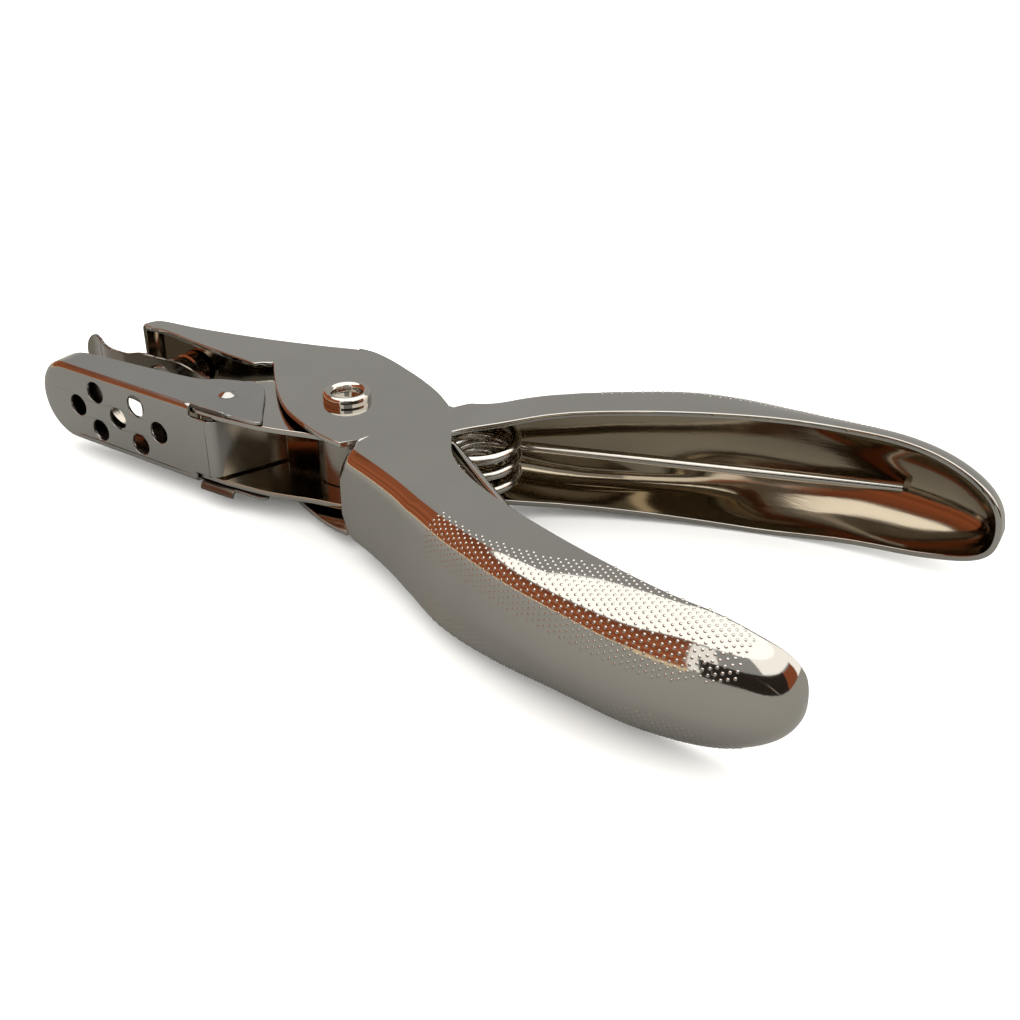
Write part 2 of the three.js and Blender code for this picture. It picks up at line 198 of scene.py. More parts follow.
def bake(obj):
    """Applies the modifiers of an object to its mesh."""
    depsgraph = bpy.context.evaluated_depsgraph_get()
    mesh = bpy.data.meshes.new_from_object(obj.evaluated_get(depsgraph))
    obj.modifiers.clear()
    obj.data = mesh
    return obj


def shade(obj, angle=40):
    for face in obj.data.polygons:
        face.use_smooth = True
    obj.data.set_sharp_from_angle(angle=math.radians(angle))
    weighted = obj.modifiers.new("weighted_normals", "WEIGHTED_NORMAL")
    weighted.keep_sharp = True
    return bake(obj)


def flip_if(obj, wrong):
    """Turns the faces over when the first test face points the wrong way."""
    if wrong:
        bm = bmesh.new()
        bm.from_mesh(obj.data)
        bmesh.ops.reverse_faces(bm, faces=bm.faces)
        bm.to_mesh(obj.data)
        bm.free()


def top_points_down(obj):
    """Whether the highest large face of a shell points down."""
    best = max(obj.data.polygons, key=lambda f: f.center.z + 0.02 * f.area / MM)
    return best.normal.z < 0


def press(obj, thickness, outside, inside, rim=RIM_ROUND):
    """Gives a shell the thickness of its sheet, inwards, and rounds its cut edges."""
    obj.data.materials.append(outside)
    obj.data.materials.append(inside)
    flip_if(obj, top_points_down(obj))
    solidify = obj.modifiers.new("sheet", "SOLIDIFY")
    solidify.thickness = thickness * MM
    solidify.offset = -1
    solidify.material_offset = 1
    solidify.use_quality_normals = True
    bevel = obj.modifiers.new("rims", "BEVEL")
    bevel.width = rim * MM
    bevel.segments = 3
    bevel.limit_method = "ANGLE"
    bevel.angle_limit = math.radians(50)
    bevel.use_clamp_overlap = False
    bake(obj)
    return shade(obj)


def place(obj, material, slot, body, *nodes):
    """Puts a piece on its body. A pressed shell already has its two materials, so it keeps them."""
    if not obj.data.materials:
        obj.data.materials.append(material)
    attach(obj, body)
    if nodes:
        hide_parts(*nodes)
    return obj


# ---- materials ----


def new_material(name, colour, dark, roughness, spread, scratch):
    """Metal plate: tone and gloss drift a little, and fine rubbing marks break up the reflections."""
    material = bpy.data.materials.new(name)
    material.use_nodes = True
    nodes, links = material.node_tree.nodes, material.node_tree.links
    shader = nodes["Principled BSDF"]
    shader.inputs["Metallic"].default_value = 1.0
    coords = nodes.new("ShaderNodeTexCoord")

    cloud = nodes.new("ShaderNodeTexNoise")
    cloud.inputs["Scale"].default_value = 90
    cloud.inputs["Detail"].default_value = 4
    links.new(coords.outputs["Object"], cloud.inputs["Vector"])

    tone = nodes.new("ShaderNodeMix")
    tone.data_type = "RGBA"
    tone.inputs["A"].default_value = (*dark, 1)
    tone.inputs["B"].default_value = (*colour, 1)
    links.new(cloud.outputs["Fac"], tone.inputs["Factor"])
    links.new(tone.outputs["Result"], shader.inputs["Base Color"])

    gloss = nodes.new("ShaderNodeMapRange")
    gloss.inputs["From Min"].default_value = 0.3
    gloss.inputs["From Max"].default_value = 0.7
    gloss.inputs["To Min"].default_value = roughness
    gloss.inputs["To Max"].default_value = roughness + spread
    links.new(cloud.outputs["Fac"], gloss.inputs["Value"])
    links.new(gloss.outputs["Result"], shader.inputs["Roughness"])

    stretch = nodes.new("ShaderNodeMapping")
    stretch.inputs["Scale"].default_value = (260, 2600, 2600)
    links.new(coords.outputs["Object"], stretch.inputs["Vector"])
    rub = nodes.new("ShaderNodeTexNoise")
    rub.inputs["Scale"].default_value = 1
    rub.inputs["Detail"].default_value = 3
    links.new(stretch.outputs["Vector"], rub.inputs["Vector"])
    bump = nodes.new("ShaderNodeBump")
    bump.inputs["Strength"].default_value = scratch
    bump.inputs["Distance"].default_value = 0.00002
    links.new(rub.outputs["Fac"], bump.inputs["Height"])
    links.new(bump.outputs["Normal"], shader.inputs["Normal"])
    return material


NICKEL = (0.54, 0.52, 0.48)
NICKEL_DARK = (0.48, 0.46, 0.43)

nickel = new_material("nickel_plate", NICKEL, NICKEL_DARK, 0.05, 0.04, 0.12)
tray_nickel = new_material("tray_nickel", (0.48, 0.47, 0.45), (0.40, 0.39, 0.37), 0.13, 0.06, 0.15)
# The insides are darker and browner than the plating really is there. They stand in for dark surroundings.
inner_nickel = new_material("nickel_inside", (0.42, 0.36, 0.27), (0.30, 0.25, 0.18), 0.08, 0.06, 0.2)
# The inside of the tray is painted dark brown as painted shade, much darker than its plating really is there.
tray_inside_painted_shade = new_material("tray_inside_painted_shade", (0.20, 0.17, 0.14), (0.12, 0.10, 0.08), 0.35, 0.15, 0.3)
rivet_nickel = new_material("rivet_nickel", (0.62, 0.58, 0.52), NICKEL, 0.06, 0.04, 0.1)
spring_wire = new_material("spring_wire", (0.60, 0.57, 0.52), NICKEL, 0.10, 0.06, 0.2)
plain_steel = new_material("plain_steel", (0.45, 0.42, 0.38), (0.36, 0.33, 0.30), 0.2, 0.1, 0.3)
tool_steel = new_material("tool_steel", (0.52, 0.48, 0.42), (0.40, 0.36, 0.31), 0.12, 0.1, 0.3)
# The leaf is darkened in the same way.
leaf_steel = new_material("spring_leaf", (0.30, 0.27, 0.23), (0.22, 0.19, 0.16), 0.10, 0.08, 0.2)


# ---- handles ----

# Pairs of points: one on the handle's open rim, one on its back.
OUTER_HANDLE = [
    ((13.0, -6.0), (8.4, 12.9)),
    ((17.5, -0.2), (14.0, 15.0)),
    ((22.3, 6.6), (19.4, 17.4)),
    ((28.5, 11.2), (24.9, 20.3)),
    ((37.0, 15.6), (33.0, 24.4)),
    ((47.0, 19.6), (43.8, 28.3)),
    ((57.0, 22.6), (55.0, 30.4)),
    ((64.0, 23.8), (62.5, 30.4)),
    ((70.5, 23.6), (70.0, 29.2)),
    ((76.6, 21.6), (76.6, 26.6)),
]
INNER_HANDLE = [
    ((13.0, -4.5), (12.0, 11.8)),
    ((17.2, 2.6), (16.3, 13.8)),
    ((22.3, 6.6), (20.0, 16.2)),
    ((28.5, 11.2), (25.5, 19.2)),
    ((37.0, 15.6), (33.5, 23.5)),
    ((47.0, 19.6), (44.0, 28.0)),
    ((57.0, 22.6), (55.0, 30.5)),
    ((67.5, 24.1), (66.5, 31.9)),
    ((77.0, 24.0), (77.5, 30.9)),
    ((85.2, 22.4), (85.2, 28.4)),
]
CHEEK_COLUMNS = 8
CORNER_COLUMNS = 16
BACK_COLUMNS = 5
LONG_STEPS = 84
TIP_STEPS = 22


class Handle:
    """A spoon-shaped shell. Sections run from the open rim round to the middle of the back."""

    def __init__(self, pairs, hub_half, low_bend):
        self.rim = [pair[0] for pair in pairs]
        self.back = [pair[1] for pair in pairs]
        self.hub_half = hub_half
        self.low_bend = low_bend

    def half_width(self, x):
        widening = smoothstep(x, HUB_END_X, 30)
        swelling = math.sin(QUARTER * clamp((x - 28) / 34))
        return lerp(self.hub_half, lerp(7.5, PALM_HALF_WIDTH, swelling), widening)

    def section(self, share, low=False):
        """Half a section, from the rim to the middle of the back. The lower half rounds off more."""
        rim = spline_point(self.rim, share)
        deep = spline_point(self.back, share) - rim
        into_tip = clamp((share - TIP_SHARE) / (1 - TIP_SHARE))
        half = self.half_width(rim.x) * math.sqrt(max(0, 1 - into_tip**2))
        if low:
            half *= lerp(1, LOW_TIP_SHARE, smoothstep(rim.x, 52, 72))
        depth = deep.length * math.sqrt(1 - (0.93 * into_tip**3) ** 2)
        deep.normalize()
        bend = lerp(SHOULDER_BEND, self.low_bend if low else BEND_RADIUS, smoothstep(share, 0, 0.045))
        corner = min(lerp(bend, PALM_BEND, smoothstep(rim.x, HUB_END_X, 40)), 0.9 * half, 0.9 * depth)
        flat = []
        for j in range(CHEEK_COLUMNS):
            flat.append(((depth - corner) * j / CHEEK_COLUMNS, half))
        for j in range(CORNER_COLUMNS):
            angle = QUARTER * j / CORNER_COLUMNS
            flat.append((depth - corner + corner * math.sin(angle), half - corner + corner * math.cos(angle)))
        for j in range(BACK_COLUMNS + 1):
            flat.append((depth, (half - corner) * (1 - j / BACK_COLUMNS)))
        crown = smoothstep(rim.x, 30, 56) if low else smoothstep(rim.x, 40, 68)
        power = lerp(LOW_PALM_POWER if low else PALM_POWER, TIP_POWER, smoothstep(into_tip, 0.1, 1))
        profile = []
        for u, z in flat:
            angle = math.atan2((u / depth) ** (power / 2), max(z / max(half, 1e-6), 1e-9) ** (power / 2))
            round_u = depth * math.sin(angle) ** (2 / power)
            round_z = half * max(0, math.cos(angle)) ** (2 / power)
            past_bend = clamp((u - depth + corner) / max(corner, 1e-6))
            z -= SHOULDER_DROP * past_bend * min(1, z / 4) * (1 - smoothstep(share, 0, 0.045))
            profile.append((lerp(u, round_u, crown), lerp(z, round_z, crown) if z > 0 else 0.0))
        return [Vector((rim.x + deep.x * u, rim.y + deep.y * u, z)) for u, z in profile]

    def shares(self):
        long = [TIP_SHARE * i / LONG_STEPS for i in range(LONG_STEPS)]
        tip = [math.sin(QUARTER * i / TIP_STEPS) for i in range(TIP_STEPS + 1)]
        return long + [TIP_SHARE + (1 - TIP_SHARE) * t for t in tip]

    def rows(self, low=False):
        rows = [self.section(share, low) for share in self.shares()]
        if low:
            rows = [[Vector((p.x, p.y, -p.z)) for p in row] for row in rows]
        return rows


DOT_PITCH = 0.76
DOT_RADIUS = 0.18
DOT_HEIGHT = 0.075
DOT_FIRST_X = 29.5
DOT_LAST_X = 72.0
ROWS_DOWN = 5.5
MOST_ROWS = 16
DOT_SIDES = 8


def add_dot(surface, middle, normal, along):
    """A low dome on the skin."""
    across = normal.cross(along).normalized()
    along = across.cross(normal).normalized()
    rows = []
    for r, h in ((1.2, -0.3), (0.95, 0.3), (0.5, 0.85)):
        ring = []
        for k in range(DOT_SIDES):
            angle = 2 * math.pi * k / DOT_SIDES
            side = along * math.cos(angle) + across * math.sin(angle)
            ring.append(middle + side * (r * DOT_RADIUS) + normal * (h * DOT_HEIGHT))
        rows.append(ring)
    ids = surface.grid(rows, closed=True)
    top = surface.add(middle + normal * DOT_HEIGHT)
    for k in range(DOT_SIDES):
        surface.faces.append((ids[-1][k], ids[-1][(k + 1) % DOT_SIDES], top))


def walk(line, distance):
    """Where a walk of that length along a line ends: its last point's number and the share after it."""
    for j in range(1, len(line)):
        step = (line[j] - line[j - 1]).length
        if distance <= step:
            return j - 1, distance / step
        distance -= step
    return None


def add_dots(surface, handle, rows_up, low):
    """Rows of small raised dots, set like a lattice, along the bend between a palm's side and its back."""
    stations = [handle.section(TIP_SHARE * 1.16 * i / 900, low) for i in range(901)]
    middle_column = CHEEK_COLUMNS + CORNER_COLUMNS // 2
    travelled = DOT_PITCH
    row = 0
    for before, section in zip(stations, stations[1:]):
        travelled += (section[middle_column] - before[middle_column]).length
        x = section[middle_column].x
        if travelled < DOT_PITCH * 0.866 or not DOT_FIRST_X < x < DOT_LAST_X:
            continue
        travelled = 0.0
        row += 1
        share = (x - DOT_FIRST_X) / (DOT_LAST_X - DOT_FIRST_X)
        ending = math.sqrt(clamp((1 - share) / 0.2))
        reach_up = lerp(2.5, rows_up, smoothstep(share, 0.05, 0.75)) * ending
        reach_down = ROWS_DOWN * ending
        up = list(reversed(section[: middle_column + 1]))
        down = section[middle_column:]
        for k in range(-MOST_ROWS, MOST_ROWS + 1):
            place_across = k + 0.5 * (row % 2)
            if not -reach_up <= place_across <= reach_down:
                continue
            line = up if place_across < 0 else down
            found = walk(line, abs(place_across) * DOT_PITCH)
            if found is None:
                continue
            j, t = found
            step = line[j + 1] - line[j]
            spot = line[j].lerp(line[j + 1], t)
            along = section[middle_column] - before[middle_column]
            along -= step * (along.dot(step) / step.length_squared)
            normal = along.cross(step).normalized()
            if normal.dot(Vector((0, 1, 1))) < 0:
                normal = -normal
            if low:
                spot, normal = Vector((spot.x, spot.y, -spot.z)), Vector((normal.x, normal.y, -normal.z))
            add_dot(surface, spot, normal, along)


def grip_dots(handle, rows_up, flip):
    surface = Surface()
    add_dots(surface, handle, rows_up, False)
    add_dots(surface, handle, rows_up, True)
    if flip:
        surface.mirror_y()
    return surface


# ---- levers ----

OUTER_JAW_BACK = [
    (-45.5, 5.4), (-45.0, 7.2), (-43.2, 8.5), (-36.8, 9.2),
    (-29.4, 10.5), (-22.5, 12.0), (-15.8, 13.8), (-9.7, 15.4),
]
OUTER_HUB_TOP = [(-9.6, 15.4), (-6.8, 15.4), (-3.4, 14.5), (0, 13.2), (5, 11.0), (9.4, 8.6), (13.0, 6.0)]
OUTER_HUB_FRONT = [
    (7.6, -11.4), (5.2, -11.1), (1.7, -10.1), (-4.6, -7.3), (-9.0, -4.1), (-13, -0.3), (-16.6, 3.6),
]
OUTER_NOTCH = [(-17.2, 4.2), (-18.6, 3.4)]
OUTER_JAW_EDGE = [(-19.4, 2.5), (-26, 3.1), (-33, 3.9), (-39.6, 4.9), (-43.9, 4.6)]

PUNCH_X = -37.4
DIE_X = -37.0
DIE_HOLE = 3.5
INNER_JAW_TOP = [(-46.4, -6.2), (-40, -5.8), (-32, -5.3), (-24, -4.5)]
INNER_HUB_TOP = [(-19, -0.6), (-12, 4.4), (-3, 8.0), (4, 9.4)]
INNER_HUB_FRONT = [(8.0, -7.2), (4, -8.3), (0.6, -8.9), (-6.4, -10.7), (-14, -11.5)]
INNER_UNDER_JAW = [(-18.6, -11.5), (-26, -9.4), (-45.2, -8.6)]


def bend_strip(surface, line, side, half, radius):
    """The web along a line of the cheek: round the bend, tighter towards its end, and to the mid-plane.

    Returns the line where the flat cheek starts.
    """
    normals = inward_normals(line, side)
    radii = [lerp(0.85, radius, smoothstep((line[-1] - p).length, 0, 6)) for p in line]
    rows = [[Vector((*(p + n * (r + 0.3)), half)) for p, n, r in zip(line, normals, radii)]]
    for k in range(9):
        angle = QUARTER * k / 8
        row = []
        for p, n, r in zip(line, normals, radii):
            row.append(Vector((*(p + n * (r * (1 - math.sin(angle)))), half - r * (1 - math.cos(angle)))))
        rows.append(row)
    for k in range(1, 4):
        rows.append([Vector((p.x, p.y, (half - r) * (1 - k / 3))) for p, r in zip(line, radii)])
    surface.grid(rows)
    return rows[0]


def lever_shell(handle, mirrored, half, jaw_line, jaw_side, parts):
    """One pressed lever: hub cheeks, jaw web and handle in a single sheet."""
    surface = Surface()
    rows, low_rows = handle.rows(), handle.rows(low=True)
    if mirrored:
        rows = [[Vector((p.x, -p.y, p.z)) for p in row] for row in rows]
        low_rows = [[Vector((p.x, -p.y, p.z)) for p in row] for row in low_rows]
    root = rows[0][: CHEEK_COLUMNS + 1]
    flat_jaw = bend_strip(surface, jaw_line, jaw_side, half, 1.2)
    loop = []
    for part in parts:
        if part == "jaw":
            loop += flat_jaw
        elif part == "root":
            loop += root
        elif part == "root_back":
            loop += list(reversed(root))
        else:
            loop += [Vector((p[0], p[1], half)) for p in part]
    surface.polygon(loop)
    surface.mirror_z()
    surface.grid(rows)
    surface.grid(low_rows)
    return surface


outer_handle = Handle(OUTER_HANDLE, OUTER_CHEEK, 2.6)
inner_handle = Handle(INNER_HANDLE, INNER_CHEEK, 3.4)


def build_outer_lever():
    jaw = smooth(OUTER_JAW_BACK, 44)
    parts = [
        "jaw",
        smooth(OUTER_HUB_TOP, 26)[:-1],
        "root",
        smooth(OUTER_HUB_FRONT, 34),
        OUTER_NOTCH,
        smooth(OUTER_JAW_EDGE, 20),
    ]
    surface = lever_shell(outer_handle, True, OUTER_CHEEK, jaw, -1, parts)
    obj = press(surface.mesh_object("outer_lever_shell"), SHEET, nickel, inner_nickel)
    place(obj, nickel, "nickel_plate", "outer_lever", "outer_lever")
    dots = grip_dots(outer_handle, 12, True).mesh_object("outer_lever_grip_dots", weld=0.001)
    place(shade(dots, 80), nickel, "nickel_plate", "outer_lever")


def drill(obj, x, radius):
    """A round hole down through the web of the jaw, where the punch goes in."""
    cutter = lathe("drill", [(0.001, -4), (radius, -4), (radius, -8.2), (0.001, -8.2)], (x, 0), axis="Y")
    cut = obj.modifiers.new("hole", "BOOLEAN")
    cut.object = cutter
    cut.solver = "EXACT"
    bake(obj)
    bpy.data.objects.remove(cutter)
    return shade(obj)


NOSE_START_X = -45.0
NOSE_REACH = 6.4
NOSE_HALF = 5.5
NOSE_Y = -6.95


def build_jaw_nose():
    """A rounded plate that closes the tip of the die jaw. It is a guess, as the tray hides the tip."""
    angles = [QUARTER + math.pi * k / 24 for k in range(25)]
    outline = [(NOSE_START_X + NOSE_REACH * math.cos(a), NOSE_HALF * math.sin(a)) for a in angles]
    points, faces = flat_with_holes(outline, [])
    surface = Surface()
    for p in points:
        surface.add((p.x, NOSE_Y, p.y))
    surface.faces = faces
    plate = surface.mesh_object("inner_lever_nose")
    solidify = plate.modifiers.new("sheet", "SOLIDIFY")
    solidify.thickness = SHEET * MM
    solidify.offset = 0
    place(shade(bake(plate)), nickel, "nickel_plate", "inner_lever")


def build_inner_lever():
    jaw = smooth(INNER_JAW_TOP, 20)
    parts = [
        "jaw",
        smooth(INNER_HUB_TOP, 22),
        "root_back",
        smooth(INNER_HUB_FRONT, 24),
        INNER_UNDER_JAW,
    ]
    surface = lever_shell(inner_handle, False, INNER_CHEEK, jaw, -1, parts)
    obj = press(surface.mesh_object("inner_lever_shell"), SHEET, nickel, inner_nickel)
    drill(obj, DIE_X, DIE_HOLE)
    place(obj, nickel, "nickel_plate", "inner_lever", "inner_lever")
    build_jaw_nose()
    dots = grip_dots(inner_handle, 4, False).mesh_object("inner_lever_grip_dots", weld=0.001)
    place(shade(dots, 80), nickel, "nickel_plate", "inner_lever")


# ---- turned pieces ----


def lathe(name, profile, centre, axis="Z", sides=64):
    """A closed profile of (radius, height) turned about Z, or about Y for the punch."""
    surface = Surface()
    rows = []
    for radius, height in profile:
        ring = []
        for k in range(sides):
            angle = 2 * math.pi * k / sides
            a, b = radius * math.cos(angle), radius * math.sin(angle)
            if axis == "Z":
                ring.append(Vector((centre[0] + a, centre[1] + b, height)))
            else:
                ring.append(Vector((centre[0] + a, height, centre[1] + b)))
        rows.append(ring)
    surface.grid(rows, closed=True)
    return shade(surface.mesh_object(name, weld=0.003), 45)


def rounded_corner(r_from, z_from, r_to, z_to, steps=6, outward=True):
    """Points of a quarter round between two profile points."""
    out = []
    for k in range(steps + 1):
        angle = QUARTER * k / steps
        if outward:
            out.append((lerp(r_from, r_to, math.sin(angle)), lerp(z_from, z_to, 1 - math.cos(angle))))
        else:
            out.append((lerp(r_from, r_to, 1 - math.cos(angle)), lerp(z_from, z_to, math.sin(angle))))
    return out


def build_rivet():
    """Semi-tubular rivet: a hollow rolled ring stands on the upper cheek."""
    low = -PALM_HALF_WIDTH
    profile = [(0.001, low)]
    profile += rounded_corner(2.6, low, 3.35, low + 0.5)
    profile += [(3.35, -7.15), (2.9, -7.12), (2.9, 7.05), (3.35, 7.05), (3.38, 7.25), (3.38, 7.8)]
    profile += rounded_corner(3.38, 7.8, 2.8, 8.45, outward=False)
    profile += rounded_corner(2.8, 8.45, 2.12, 7.8)
    profile += [(2.06, 7.5), (2.05, 6.9), (2.05, -7.4), (1.6, -7.7), (0.001, -7.75)]
    obj = lathe("rivet_ring", profile, (0, 0))
    place(obj, rivet_nickel, "rivet_nickel", "inner_lever", "pivot_rivet")
    spacer = [(2.96, -4.6), (4.4, -4.6), (4.6, -4.4), (4.6, 4.4), (4.4, 4.6), (2.96, 4.6), (2.96, -4.6)]
    obj = lathe("spacer_sleeve", spacer, (0, 0))
    place(obj, plain_steel, "plain_steel", "inner_lever", "pivot_spacer")


def build_punch():
    profile = [(0.001, 1.3), (2.2, 1.15), (2.86, 0.9), (3.0, 1.05), (3.0, 5.2)]
    profile += [(2.7, 5.4), (2.7, 6.0), (3.0, 6.2), (3.0, 8.0), (1.75, 8.0), (1.75, 9.5)]
    profile += [(2.55, 9.55), (2.5, 9.85), (2.1, 10.02), (0.001, 10.05)]
    obj = lathe("punch_turned", profile, (PUNCH_X, 0), axis="Y")
    place(obj, tool_steel, "tool_steel", "outer_lever", "punch_pin")


def build_die():
    surface = Surface()
    radius = DIE_HOLE - 0.1
    rows = []
    for r, y in ((1.0, 0), (0, 0), (0, -1.2), (1.0, -1.2), (1.0, 0)):
        ring = []
        for k in range(64):
            angle = 2 * math.pi * k / 64
            round_x, round_z = radius * math.cos(angle), radius * math.sin(angle)
            reach = 1 / max(abs(math.cos(angle)) / 7.0, abs(math.sin(angle)) / 4.6)
            flat_x, flat_z = reach * math.cos(angle), reach * math.sin(angle)
            ring.append(Vector((lerp(round_x, flat_x, r), y, lerp(round_z, flat_z, r))))
        rows.append(ring)
    tilt = Matrix.Rotation(math.radians(3.6), 3, "Z")
    rows = [[tilt @ p + Vector((DIE_X, -6.55, 0)) for p in ring] for ring in rows]
    surface.grid(rows, closed=True)
    obj = surface.mesh_object("die_block")
    place(shade(obj, 40), tool_steel, "tool_steel", "inner_lever", "die_plate")


# ---- flat pieces with holes ----


def flat_with_holes(outline, holes, cuts=()):
    """Triangles of a flat outline with holes, as (points, faces), cut across at given places."""
    curve = bpy.data.curves.new("outline", "CURVE")
    curve.dimensions = "2D"
    curve.fill_mode = "BOTH"
    for loop in [outline, *holes]:
        line = curve.splines.new("POLY")
        line.points.add(len(loop) - 1)
        for k, (a, b) in enumerate(loop):
            line.points[k].co = (a, b, 0, 1)
        line.use_cyclic_u = True
    obj = bpy.data.objects.new("outline", curve)
    bpy.context.scene.collection.objects.link(obj)
    depsgraph = bpy.context.evaluated_depsgraph_get()
    mesh = bpy.data.meshes.new_from_object(obj.evaluated_get(depsgraph))
    bpy.data.objects.remove(obj)
    bm = bmesh.new()
    bm.from_mesh(mesh)
    bmesh.ops.remove_doubles(bm, verts=bm.verts, dist=0.001)
    for cut in cuts:
        everything = bm.verts[:] + bm.edges[:] + bm.faces[:]
        bmesh.ops.bisect_plane(bm, geom=everything, plane_co=(cut, 0, 0), plane_no=(1, 0, 0))
    bm.verts.index_update()
    points = [v.co.copy() for v in bm.verts]
    faces = [[v.index for v in f.verts] for f in bm.faces]
    bm.free()
    return points, faces


def circle(x, z, radius, sides=28):
    angles = [2 * math.pi * k / sides for k in range(sides)]
    return [(x + radius * math.cos(a), z + radius * math.sin(a)) for a in angles]


GUIDE_LINE = [
    (-57.6, 3.8), (-55.4, 3.5), (-52.8, 2.4), (-49.4, 0.6), (-46, 0.0), (-40, 0.3), (-34, 0.6), (-30, 0.6),
    (-26.6, -0.4), (-24.4, -2.2), (-23.2, -3.6),
]
GUIDE_SHEET = 0.5
GUIDE_HOLE = 3.3
GUIDE_NOSE_HALF = 3.9
GUIDE_HALF = 4.6


def build_guide():
    """The spring leaf between the jaws, with a round turned-up nose and a hole for the punch."""
    line = smooth(GUIDE_LINE, 120)
    lengths = [0.0]
    for a, b in zip(line, line[1:]):
        lengths.append(lengths[-1] + (b - a).length)
    total = lengths[-1]

    def along(distance):
        k = clamp(distance / total) * (len(line) - 1)
        i = min(int(k), len(line) - 2)
        return line[i].lerp(line[i + 1], k - i)

    hole_at = min(range(len(line)), key=lambda i: abs(line[i].x - PUNCH_X))
    nose = []
    for k in range(25):
        angle = QUARTER + math.pi * k / 24
        nose.append((GUIDE_NOSE_HALF * (1 + math.cos(angle)), GUIDE_NOSE_HALF * math.sin(angle)))
    hole_share = lengths[hole_at] / total
    edge = []
    for k in range(8, 61):
        near_hole = smoothstep(0.2 - abs(k / 60 - hole_share), 0.0, 0.1)
        edge.append((total * k / 60, -lerp(GUIDE_NOSE_HALF, GUIDE_HALF, near_hole)))
    other = [(a, -b) for a, b in reversed(edge)]
    outline = nose + edge + other
    holes = [circle(lengths[hole_at], 0, GUIDE_HOLE, 40)]
    points, faces = flat_with_holes(outline, holes, [total * k / 60 + 0.01 for k in range(1, 60)])
    surface = Surface()
    for p in points:
        spot = along(p.x)
        surface.add((spot.x, spot.y, p.y))
    surface.faces = faces
    obj = surface.mesh_object("paper_guide_leaf")
    flip_if(obj, obj.data.polygons[0].normal.y < 0)
    solidify = obj.modifiers.new("sheet", "SOLIDIFY")
    solidify.thickness = GUIDE_SHEET * MM
    solidify.offset = 1
    bevel = obj.modifiers.new("rims", "BEVEL")
    bevel.width = 0.1 * MM
    bevel.segments = 2
    bevel.limit_method = "ANGLE"
    bevel.angle_limit = math.radians(50)
    bevel.use_clamp_overlap = False
    place(shade(bake(obj)), leaf_steel, "spring_leaf", "paper_guide", "paper_guide")


# ---- chip tray ----

TRAY_NOSE_X = -52.0
TRAY_TOP = [(-51.4, -7.2), (-49.0, -6.7), (-40, -5.9), (-32, -5.3), (-24, -4.4), (-21.4, -2.9), (-18.5, -1.8)]
TRAY_SLIT_X = -19.0
TRAY_REAR_X = -16.1
TRAY_NOSE_LENGTH = 7.0
TRAY_TONGUE_HALF = 4.4
TRAY_HOLE = 1.7
TRAY_PIVOT = (-16.6, -6.4)
TRAY_HOLES = [(-42.9, 0), (-34.3, 0), (-25.7, 0), (-38.6, 3.1), (-30.0, 3.1), (-38.6, -3.1), (-30.0, -3.1)]
TRAY_BEND = 0.85
DIMPLE_REACH = 1.45
LIP_FRONT_X = -11.2
DIMPLE_RISE = 0.5


def tray_top_y(x):
    fine = [spline_point(TRAY_TOP, i / 120) for i in range(121)]
    for a, b in zip(fine, fine[1:]):
        if a.x <= x <= b.x:
            return lerp(a.y, b.y, (x - a.x) / (b.x - a.x))
    return fine[0].y if x < fine[0].x else fine[-1].y


def tray_floor_y(x):
    return lerp(-11.3, -12.1, (x + 48.7) / (48.7 - 19))


